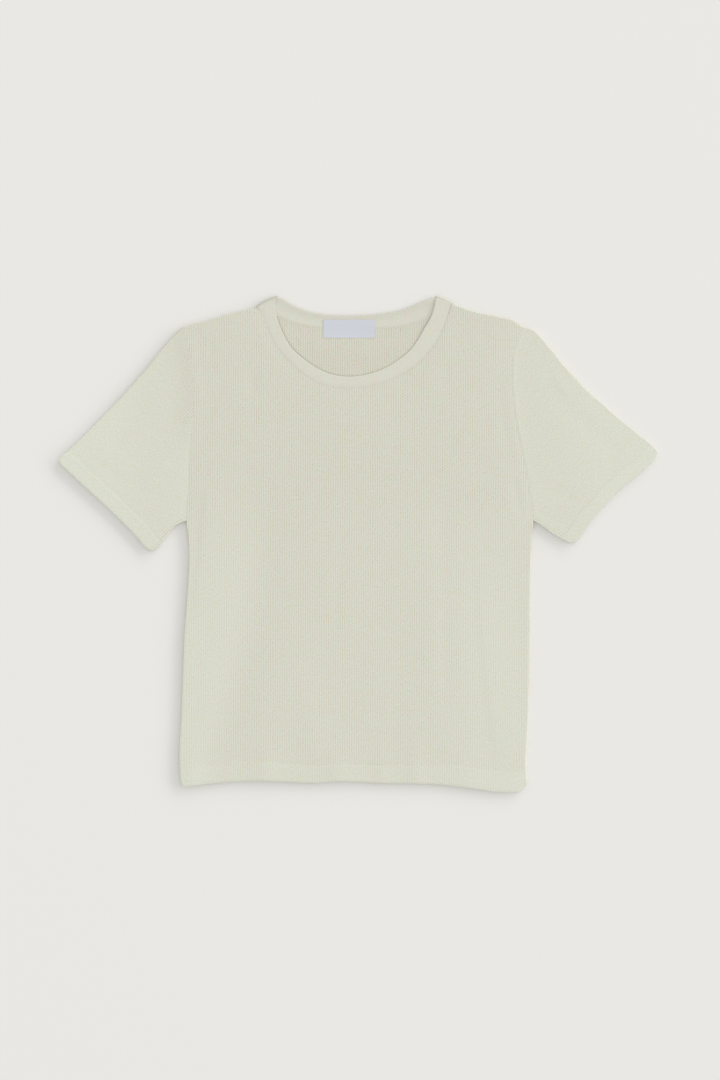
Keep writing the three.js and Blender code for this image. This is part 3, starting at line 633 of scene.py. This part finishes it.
def sleeve(side):
    plan, v, from_seam, from_cuff, from_under, from_fold = sleeve_plan(side, 76, 72)
    x, y = plan[..., 0], plan[..., 1]
    near = np.minimum(from_under, from_fold)
    hemmed = hem_profile(from_cuff, CUFF_HEM_DEPTH)
    cloth = lerp(CLOTH, HEM_CLOTH, hemmed) * pressed(near)
    angle = roll_angle(near)
    by_edge = 1 - smooth(0, EDGE_BLEND, near)
    across = plan[:, -1] - plan[:, 0]
    across = across / np.linalg.norm(across, axis=-1, keepdims=True)
    outward = np.where(v < 0.5, -1, 1)[None, :, None] * across[:, None]
    to_cuff = plan[-1] - plan[-4]
    to_cuff = to_cuff / np.linalg.norm(to_cuff, axis=-1, keepdims=True)
    in_side, in_cuff = rounded(near, from_cuff)
    free = SPREAD * (1 - smooth(0, 12, near)) * smooth(2, 14, from_seam) - in_side
    along = SPREAD * (1 - smooth(0, 12, from_cuff)) - in_cuff
    moved = plan + outward * free[..., None] + to_cuff * along[..., None]
    relief = crease_height(x, y) + drift(x, y)
    relief = relief * (1 - 0.6 * by_edge) * smooth(0, 18, from_seam)
    sewn = 0.11 * smooth(0.25, 0.6, v) if side == "right" else 0
    shows = smooth(0.8, 0.45, v) * (1 if side == "right" else 0.35)
    relief = relief + sewn * ridge(from_seam - 2.4, 1.6) - 0.12 * ridge(from_seam, 1.6) * shows
    relief = relief - 0.22 * ridge(from_under - 3.0, 0.8)
    height = lerp(TOP_HEIGHT, EDGE_HEIGHT, by_edge) + relief
    height = height + hem_relief(from_cuff, CUFF_HEM_DEPTH)
    half = EDGE_HEIGHT / 2 + np.where(v < 0.5, LAYER_GAP / 2, 0)
    upper = np.stack([moved[..., 0], moved[..., 1], half + (height - half) * np.sin(angle)], -1)
    up = np.zeros_like(upper)
    up[..., 2] = 1
    outward = np.concatenate([outward + 0 * plan, 0 * x[..., None]], -1)
    level, turned = np.cos(angle)[..., None], np.sin(angle)[..., None]
    normals = np.where(angle[..., None] < math.pi / 2 - 0.02, outward * level + up * turned,
                       grid_normals(upper, up))
    half_low = EDGE_HEIGHT / 2 - np.where(v < 0.5, LAYER_GAP / 2, 0)
    lower = np.stack([moved[..., 0], moved[..., 1], half_low - half_low * np.sin(angle)], -1)
    back = slice(len(v) - 2, None, -1)
    points = np.concatenate([upper, lower[:, back]], 1)
    facing = np.concatenate([normals, (outward * level - up * turned)[:, back]], 1)
    facing /= np.linalg.norm(facing, axis=-1, keepdims=True)
    thick = np.concatenate([cloth, cloth[:, back]], 1)
    top_line = np.array(SLEEVES[side]["top"], float)
    arm = top_line[-1] - top_line[2]
    arm /= np.linalg.norm(arm)
    down = np.array([arm[1], -arm[0]]) * (-1 if side == "left" else 1)
    across_mm, along_mm = (plan - top_line[-1]) @ down, (plan - top_line[-1]) @ arm
    across_mm = np.concatenate([across_mm, -across_mm[:, back]], 1)
    along_mm = np.concatenate([along_mm, along_mm[:, back]], 1)
    knit = np.stack([across_mm, along_mm], -1)
    # The sleeve's tone per point: paler towards the cuff, on the hem and near the fold; near the armhole
    # the left sleeve is paler towards the underarm and darker towards the fold; painted shade along the
    # groove by the underarm edge; painted shade on edges that face the light and painted light on those
    # that turn away.
    at_seam = lerp(0.95, 0.1, smooth(0.3, 0.65, v)) if side == "left" else 0.8
    full = lerp(at_seam, 0.8, smooth(0, 50, from_seam)) + 0.35 * smooth(40, 150, from_seam)
    full = full + 0.3 * hemmed
    full = np.clip(full + 0.2 * smooth(30, 4, from_fold) * smooth(30, 120, from_seam), 0, 1.7)
    full = full - 0.7 * ridge(from_under - 2.6, 1.3)
    full = full - painted_edge_light_and_shade(outward[..., 0], outward[..., 1]) * ridge(near, 0.7)
    full = full - painted_edge_light_and_shade(to_cuff[..., 0], to_cuff[..., 1]) * ridge(from_cuff, 0.7)
    full = np.concatenate([full, full[:, back]], 1)
    return wall("sleeve_" + side + "_cloth", points, facing, thick, knit, 2, full)


sleeve_left = sleeve("left")
sleeve_right = sleeve("right")

# %% [markdown]
# The neckband is a doubled strip sewn round the neck. Laid flat it is a closed ring folded at the
# two shoulder points: its front half lies over the front, its back half under it. So it is one
# ring of rounded sections, whose outer face looks up in front, outwards at a fold, down behind.

# %% Neckband
BAND_STEPS = 150
BAND_PROFILE = [(0.0, -0.78), (0.05, -0.93), (0.2, -0.86), (0.4, -0.72), (0.6, -0.72), (0.8, -0.88),
                (0.93, -0.98), (0.985, -0.8), (1.0, -0.3), (1.0, 0.3), (0.99, 0.7), (0.97, 0.9),
                (0.94, 0.98), (0.85, 1.0), (0.7, 1.0), (0.5, 1.0), (0.36, 0.98), (0.24, 0.94),
                (0.14, 0.88), (0.06, 0.8), (0.0, 0.72)]


def neckband():
    profile = np.array(BAND_PROFILE)
    sections, maps, tones = [], [], []
    # Painted shade on the band: a darker line along its sewn seam, and a darker line at its inner edge,
    # used where that edge faces the light and round the folds.
    seam_painted_shade, edge_painted_shade = -0.4 * ridge(profile[:, 0], 0.16), -ridge(profile[:, 0] - 1, 0.05)

    def add(seam, edge, normal, travelled, bow, tone):
        share = profile[:, :1]
        place = seam + (edge - seam) * share + bow * 4 * share * (1 - share)
        place = place + normal * profile[:, 1:] * BAND_CLOTH / 2
        sections.append(place)
        maps.append(np.stack([np.full(len(profile), travelled), profile[:, 0] * 13], -1))
        tones.append(seam_painted_shade + tone)

    def bow_out(end, sign):
        seam, edge = np.array([*end[0], 0.0]), np.array([*end[1], 0.0])
        along = (edge - seam) / np.linalg.norm(edge - seam)
        return np.array([along[1], -along[0], 0]) * sign

    bows = (bow_out(BAND_FOLDS["left"], -1), bow_out(BAND_FOLDS["right"], 1))

    def layer(seam_rows, edge_rows, height, normal, backwards, start, tone, lit, ends):
        seam_at, edge_at = spline(seam_rows), spline(edge_rows)
        share = np.linspace(0, 1, BAND_STEPS + 1)[1:-1]
        seam, edge = seam_at(share), edge_at(share)
        inward = (edge - seam) / np.linalg.norm(edge - seam, axis=-1, keepdims=True)
        seam = seam + inward * SEWN_GAP
        bow = np.zeros((len(share), 3))
        for at_end, name, outward in ((share, "left", bows[0]), (1 - share, "right", bows[1])):
            pull = (1 - smooth(0, 0.07, at_end))[:, None]
            seam = lerp(seam, np.array(BAND_FOLDS[name][0]), pull)
            bow = bow + outward * BAND_FOLDS[name][2] * pull
        # The inner edge is painted darker where it faces the light: painted shade against its lit roll.
        lit = lit * np.maximum(inward @ TO_LIGHT, 0)
        # Near the left fold the front half is painted darker, painted shade; near the right fold the back
        # half is painted paler, painted light where the front band shades it.
        near = ends[0] * (1 - smooth(0, 0.025, share)) + ends[1] * (1 - smooth(0, 0.09, 1 - share))
        order = range(len(share) - 1, -1, -1) if backwards else range(len(share))
        for i in order:
            add(np.array([*seam[i], height]), np.array([*edge[i], height]), normal,
                start + share[i] * seam_at.length, bow[i], tone + lit[i] * edge_painted_shade + near[i])

    def fold(end, outward, backwards, tone):
        seam, edge = (np.array([*point, 0.0]) for point in end[:2])
        middle, radius = (BAND_HEIGHT + BAND_LOW) / 2, (BAND_HEIGHT - BAND_LOW) / 2
        steps = np.linspace(0, math.pi, 13)
        for angle in steps[::-1] if backwards else steps:
            normal = outward * math.sin(angle) + np.array([0, 0, math.cos(angle)])
            shift = normal * radius + np.array([0, 0, middle])
            add(seam + shift, edge + shift, normal, angle, outward * end[2], edge_painted_shade + tone)

    up = np.array([0.0, 0.0, 1.0])
    layer(FRONT_SEAM, FRONT_EDGE, BAND_HEIGHT, up, False, 0, 0.0, 1.7, (-0.8, 0.0))
    # Each fold is painted darker, the left one more: painted shade on the fold's hump.
    fold(BAND_FOLDS["right"], bows[1], False, -1.2)
    shade = -0.6 * ridge(profile[:, 0] - 1, 0.45)
    layer(BACK_SEAM, BACK_EDGE, BAND_LOW, -up, True, 400, shade, 0.0, (0.0, 1.7))
    fold(BAND_FOLDS["left"], bows[0], True, -1.9)
    stack = np.array(sections)[:, ::-1]
    return ring("neckband_knit", stack, np.array(maps)[:, ::-1], np.array(tones)[:, ::-1])


band = neckband()


# %% Label
LABEL_CLOTH = 0.16


def label():
    across = np.linspace(LABEL["left"], LABEL["right"], 40)
    down = np.concatenate([[0, 0.25, 0.7], np.linspace(1.4, 18.6, 22), [19.3, 19.75, 20]])
    y = LABEL["top"] - down
    grid_x, grid_y = np.meshgrid(across, y)
    on_panel = CLOTH + inside_lift(grid_x, grid_y, np.maximum(LABEL["seam"] - grid_y, 0))
    under = lerp(BAND_LOW + BAND_CLOTH / 2, on_panel, smooth(LABEL["seam"] + 3, LABEL["seam"] - 5, grid_y))
    bow = 0.06 * np.sin((grid_x - LABEL["left"]) / 56.5 * math.pi * 2.2 + 0.5)
    bow = (bow + 0.06) * smooth(0, 6, down)[:, None]
    points = np.stack([grid_x, grid_y, under + 0.02 + LABEL_CLOTH + bow], -1)
    facing = np.zeros_like(points)
    facing[..., 2] = 1
    uv = np.stack([grid_x - LABEL["left"], grid_y - LABEL["bottom"]], -1)
    thick = np.full(grid_x.shape, LABEL_CLOTH)
    return wall("woven_label", points, grid_normals(points, facing), thick, uv, 1)


tag = label()


# %% [markdown]
# Colours are given as sRGB hex, as read off a screen, and turned to the linear values that the
# shader works in. One small function adds a node with its settings and links.

# %% Helpers for materials
def colour(hex_code):
    parts = [int(hex_code[i:i + 2], 16) / 255 for i in (1, 3, 5)]
    linear = [c / 12.92 if c <= 0.04045 else ((c + 0.055) / 1.055) ** 2.4 for c in parts]
    return (*linear, 1.0)


def node(tree, kind, links=(), **settings):
    made = tree.nodes.new(kind)
    for key, value in settings.items():
        setattr(made, key, value)
    for socket, value in dict(links).items():
        if isinstance(value, bpy.types.NodeSocket):
            tree.links.new(value, made.inputs[socket])
        else:
            made.inputs[socket].default_value = value
    return made


def material(name):
    made = bpy.data.materials.new(name)
    made.use_nodes = True
    made.node_tree.nodes.clear()
    return made, made.node_tree


# %% [markdown]
# The body knit is a fine openwork: upright ribs about 2.5 mm apart with a groove between them,
# small stitches up each rib, and tiny eyelets in the grooves, set alternately. Cotton yarn is
# matt with short hairs, so the surface is rough, with a little sheen where it turns away.

# %% Openwork knit
COURSE = 1.7
EYELET_STEP = 3.3
WARM_CAST, COOL_CAST, DEEP_CAST = 0.10, 0.14, 0.40


def knit_material(name, open_hex, pale_hex, shade_hex, rib_mm, eyelets, bump_mm):
    """A knit: ribs rib_mm apart, eyelets between them, and a colour from open to pale by each point's
    tone, which also carries painted light and shade.
    """
    made, tree = material(name)
    uv = node(tree, "ShaderNodeUVMap", uv_map="knit").outputs[0]

    def maths(operation, a, b=0.0, c=0.0):
        return node(tree, "ShaderNodeMath", {0: a, 1: b, 2: c}, operation=operation).outputs[0]

    def noise(per_mm, detail, stretch=(1, 1, 1)):
        place = node(tree, "ShaderNodeVectorMath", {0: uv, 1: stretch}, operation="MULTIPLY")
        links = {"Vector": place.outputs[0], "Scale": per_mm, "Detail": detail}
        return node(tree, "ShaderNodeTexNoise", links).outputs[0]

    parts = node(tree, "ShaderNodeSeparateXYZ", {0: uv})
    uneven = noise(0.11, 2.0)
    u = maths("MULTIPLY_ADD", uneven, 1.1, parts.outputs[0])
    v = maths("MULTIPLY_ADD", noise(0.28, 2.0), 4.5, parts.outputs[1])
    rib = maths("POWER", maths("ABSOLUTE", maths("COSINE", maths("MULTIPLY", u, math.pi / rib_mm))),
                0.8)
    groove = maths("SUBTRACT", 1.0, rib)
    odd = maths("MODULO", maths("ABSOLUTE", maths("FLOOR", maths("DIVIDE", u, rib_mm))), 2.0)
    shifted = maths("MULTIPLY", odd, 0.5)
    stitch = maths("COSINE", maths("MULTIPLY", maths("ADD", maths("DIVIDE", v, COURSE), shifted),
                                   2 * math.pi))
    wave = maths("COSINE", maths("MULTIPLY", maths("ADD", maths("DIVIDE", v, EYELET_STEP), shifted),
                                 2 * math.pi))
    eyelet = maths("POWER", maths("MULTIPLY_ADD", wave, 0.5, 0.5), 2.2)
    eyelet = maths("MULTIPLY", eyelet, maths("POWER", groove, 0.6))
    open_here = maths("MAXIMUM", 0.05, maths("MULTIPLY_ADD", noise(0.13, 3.0, (1, 0.6, 1)), 3.6, -1.25))
    eyelet = maths("MULTIPLY", eyelet, open_here)
    fibre = noise(0.9, 4.0, (1, 0.45, 1))
    # Each point's tone: the knit's paleness together with painted light and shade.
    full = node(tree, "ShaderNodeAttribute", attribute_name="tone_with_painted_light_and_shade").outputs[2]
    cloth = node(tree, "ShaderNodeMix", {0: full, 6: colour(open_hex), 7: colour(pale_hex)},
                 data_type="RGBA", clamp_factor=False).outputs[2]
    # The grooves and eyelets are mixed towards the shade colour: painted shade in the recesses and through
    # the holes, less where the tone is paler.
    drawn = maths("MAXIMUM", 0.03, maths("MULTIPLY_ADD", noise(0.06, 3.0, (1.3, 0.5, 1)), 2.4, -0.87))
    closed = maths("MAXIMUM", 0.3, maths("MULTIPLY_ADD", full, -0.6, 1.0))
    lines = maths("MULTIPLY", maths("SUBTRACT", groove, 0.33), drawn)
    holes = maths("MULTIPLY", maths("SUBTRACT", eyelet, maths("MULTIPLY", open_here, 0.16)), eyelets)
    dark = maths("MULTIPLY_ADD", maths("ADD", lines, holes), closed, 0.14)
    dark = maths("ADD", dark, maths("MULTIPLY_ADD", fibre, 0.66, -0.33))
    mixed = node(tree, "ShaderNodeMix", {0: dark, 6: cloth, 7: colour(shade_hex)},
                 data_type="RGBA", clamp_factor=True)
    # Undyed yarn has a faint cast, warm here and greenish there, and is yellower in its depths.
    warm = maths("MULTIPLY_ADD", noise(0.1, 3.0, (-1, 0.8, 1)), WARM_CAST, -WARM_CAST / 2)
    warm = maths("MULTIPLY", warm, closed)
    cool = maths("MULTIPLY_ADD", noise(0.17, 3.0, (1, -0.6, 1)), COOL_CAST, -COOL_CAST / 2)
    cool = maths("ADD", cool, maths("MULTIPLY_ADD", fibre, -DEEP_CAST, DEEP_CAST / 2))
    cast = node(tree, "ShaderNodeCombineXYZ", {0: maths("ADD", 1.0, warm),
                                               1: maths("SUBTRACT", 1.0, warm),
                                               2: maths("ADD", 1.0, cool)})
    tinted = node(tree, "ShaderNodeVectorMath", {0: mixed.outputs[2], 1: cast.outputs[0]},
                  operation="MULTIPLY")
    height = maths("ADD", maths("MULTIPLY", rib, 0.6), maths("MULTIPLY", stitch, 0.12))
    height = maths("SUBTRACT", height, maths("MULTIPLY", eyelet, 0.6))
    height = maths("ADD", height, maths("MULTIPLY", fibre, 0.3))
    bump = node(tree, "ShaderNodeBump", {"Strength": closed, "Distance": bump_mm * MM,
                                         "Height": height})
    shader = node(tree, "ShaderNodeBsdfPrincipled", {
        "Base Color": tinted.outputs[0], "Normal": bump.outputs[0], "Roughness": 0.92,
        "Specular IOR Level": 0.2, "Sheen Weight": 0.1, "Sheen Roughness": 0.5,
    })
    node(tree, "ShaderNodeOutputMaterial", {0: shader.outputs[0]})
    return made


openwork = knit_material("cotton_openwork_knit", "#D7D7C9", "#DCDED0", "#B6AD92", WALE, 0.45, 0.09)
smooth_knit = knit_material("cotton_band_knit", "#DAD9CC", "#E4E3D6", "#BEB9A3", 1.1, 0.0, 0.05)


# %% Woven label ribbon
def ribbon_material():
    made, tree = material("satin_woven_ribbon")
    uv = node(tree, "ShaderNodeUVMap", uv_map="knit")
    weave = node(tree, "ShaderNodeTexWave", {"Vector": uv.outputs[0], "Scale": 2.2,
                                             "Distortion": 0.4, "Detail": 2.0},
                 bands_direction="Y")
    mixed = node(tree, "ShaderNodeMix", {0: weave.outputs[1], 6: colour("#CACCD4"),
                                         7: colour("#CFD1D9")}, data_type="RGBA")
    bump = node(tree, "ShaderNodeBump", {"Strength": 0.15, "Distance": 0.05 * MM,
                                         "Height": weave.outputs[1]})
    shader = node(tree, "ShaderNodeBsdfPrincipled", {
        "Base Color": mixed.outputs[2], "Normal": bump.outputs[0], "Roughness": 0.5,
        "Specular IOR Level": 0.4, "Sheen Weight": 0.1,
    })
    node(tree, "ShaderNodeOutputMaterial", {0: shader.outputs[0]})
    return made


ribbon = ribbon_material()
for piece, finish in ((front, openwork), (back, openwork), (sleeve_left, openwork),
                      (sleeve_right, openwork), (band, smooth_knit), (tag, ribbon)):
    piece.data.materials.append(finish)

# %% [markdown]
# The turned hems are held by a row of small stitches in the same yarn. Each is a short lozenge of
# thread, half sunk in the cloth, so it is laid on the panel's own surface where the row passes.

# %% Hem stitches
STITCH_PITCH, STITCH_LONG, STITCH_WIDE = 3.4, 2.3, 0.45


def surface_height(piece, places):
    """Highest points of a piece at plan places, in plan millimetres."""
    depth = bpy.context.evaluated_depsgraph_get()
    depth.update()
    heights = []
    for place in (places + SHIFT[:2]) * MM:
        hit, point, _, _ = piece.ray_cast((place[0], place[1], 0.1), (0, 0, -1))
        heights.append(point[2] / MM if hit else TOP_HEIGHT)
    return np.array(heights)


def stitch_row(name, piece, line):
    """Stitches along a plan line, on the top of a piece."""
    at = spline(line)
    count = int(at.length / STITCH_PITCH)
    shares = (np.arange(count) + 0.5) / count
    places = at(shares)
    heights = surface_height(piece, places)
    along = at(np.minimum(shares + 0.002, 1)) - at(shares - 0.002)
    along /= np.linalg.norm(along, axis=-1, keepdims=True)
    turn = np.arange(6) * math.pi / 3
    points, faces = [], []
    for place, height, way in zip(places, heights, along):
        first = len(points)
        side = np.array([-way[1], way[0]])
        for t, r in ((-0.5, 0.0), (-0.4, 0.7), (-0.15, 1.0), (0.15, 1.0), (0.4, 0.7), (0.5, 0.0)):
            for angle in turn if r else turn[:1]:
                plan = place + way * t * STITCH_LONG + side * r * math.cos(angle) * STITCH_WIDE / 2
                lift = r * math.sin(angle) * STITCH_WIDE / 2 - 0.02 - 0.2 * abs(t)
                points.append((*plan, height + lift))
        rings = [first + 1 + 6 * k for k in range(4)]
        last = first + 25
        for j in range(6):
            k = (j + 1) % 6
            faces.append((first, rings[0] + k, rings[0] + j))
            faces.append((last, rings[3] + j, rings[3] + k))
            faces += [(a + j, a + k, b + k, b + j) for a, b in zip(rings[:-1], rings[1:])]
    points = np.array(points)
    return mesh_piece(name, points, faces, points[:, :2], np.full(len(points), 0.5, np.float32))


def hem_row(line, depth, ends):
    """A line moved in from a hem, and kept clear of its ends."""
    at = spline(line)
    shares = np.linspace(ends[0], 1 - ends[1], 24)
    step = at(np.minimum(shares + 0.01, 1)) - at(np.maximum(shares - 0.01, 0))
    step /= np.linalg.norm(step, axis=-1, keepdims=True)
    return at(shares) + np.stack([-step[:, 1], step[:, 0]], -1) * depth


rows = [
    stitch_row("hem_stitches", front, hem_row(HEM, HEM_DEPTH - 1.8, (0.012, 0.012))),
    stitch_row("cuff_left_stitches", sleeve_left,
               hem_row(SLEEVES["left"]["cuff"], -(CUFF_HEM_DEPTH - 1.6), (0.03, 0.03))),
    stitch_row("cuff_right_stitches", sleeve_right,
               hem_row(SLEEVES["right"]["cuff"], CUFF_HEM_DEPTH - 1.6, (0.03, 0.03))),
]
for row in rows:
    row.data.materials.append(openwork)

# %% [markdown]
# Every piece stands for its solid and rides on the one body. A panel's cut is wider than its laid width by
# its seams.

# %% Pieces on the body, in place of their solids
for piece, solid_name, slot in (
    (front, "front", "openwork_knit"), (back, "back", "openwork_knit"),
    (sleeve_left, "sleeve_left", "openwork_knit"), (sleeve_right, "sleeve_right", "openwork_knit"),
    (band, "neckband", "band_knit"), (tag, "label", "label_weave"),
):
    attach(piece, "root")
    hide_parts(solid_name)
for row in rows:
    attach(row, "root")

# %% [markdown]
# The surface is a plain pale floor. The light is a large soft panel high to the right of the
# neck, so the shadows fall softly to the left and below the hem, over an even studio fill.

# %% Floor, light and camera
FRAME_HIGH_MM = 1188.0
LENS, SENSOR = 85.0, 36.0
CENTRE = ((2.2 + SHIFT[0]) * MM, (3.85 + SHIFT[1]) * MM)


def floor():
    made, tree = material("matt_paper_floor")
    shader = node(tree, "ShaderNodeBsdfPrincipled", {
        "Base Color": colour("#E8E7E3"), "Roughness": 0.9, "Specular IOR Level": 0.0,
    })
    node(tree, "ShaderNodeOutputMaterial", {0: shader.outputs[0]})
    mesh = bpy.data.meshes.new("floor")
    reach = 30.0
    corners = [(-reach, -reach), (reach, -reach), (reach, reach), (-reach, reach)]
    mesh.from_pydata([(a, b, -0.0004) for a, b in corners], [], [(0, 1, 2, 3)])
    mesh.materials.append(made)
    plane = bpy.data.objects.new("floor", mesh)
    bpy.context.scene.collection.objects.link(plane)


KEY_AWAY = 40.0


def far_panel(name, turn, height, wide, tall, power):
    """A wide, far panel: its turn from +X, height above the floor and spread, in degrees."""
    light = bpy.data.lights.new(name, "AREA")
    light.shape = "RECTANGLE"
    light.size = 2 * KEY_AWAY * math.tan(math.radians(wide / 2))
    light.size_y = 2 * KEY_AWAY * math.tan(math.radians(tall / 2))
    light.energy = power
    holder = bpy.data.objects.new(name, light)
    level = KEY_AWAY * math.cos(math.radians(height))
    holder.location = (level * math.cos(math.radians(turn)), level * math.sin(math.radians(turn)),
                       KEY_AWAY * math.sin(math.radians(height)))
    holder.rotation_euler = (math.radians(90 - height), 0, math.radians(turn + 90))
    bpy.context.scene.collection.objects.link(holder)


floor()
far_panel("key_panel", 30.0, 14.2, 84.0, 13.5, 16900.0)
world = bpy.data.worlds.new("studio")
world.use_nodes = True
world.node_tree.nodes["Background"].inputs[0].default_value = colour("#FFFFFF")
world.node_tree.nodes["Background"].inputs[1].default_value = 0.833
bpy.context.scene.world = world
bpy.context.scene.view_settings.view_transform = "Standard"

lens = bpy.data.cameras.new("camera")
lens.lens = LENS
lens.sensor_width = SENSOR
lens.clip_end = 100
camera = bpy.data.objects.new("camera", lens)
camera.location = (CENTRE[0], CENTRE[1], FRAME_HIGH_MM * MM * LENS / SENSOR)
bpy.context.scene.collection.objects.link(camera)
bpy.context.scene.camera = camera
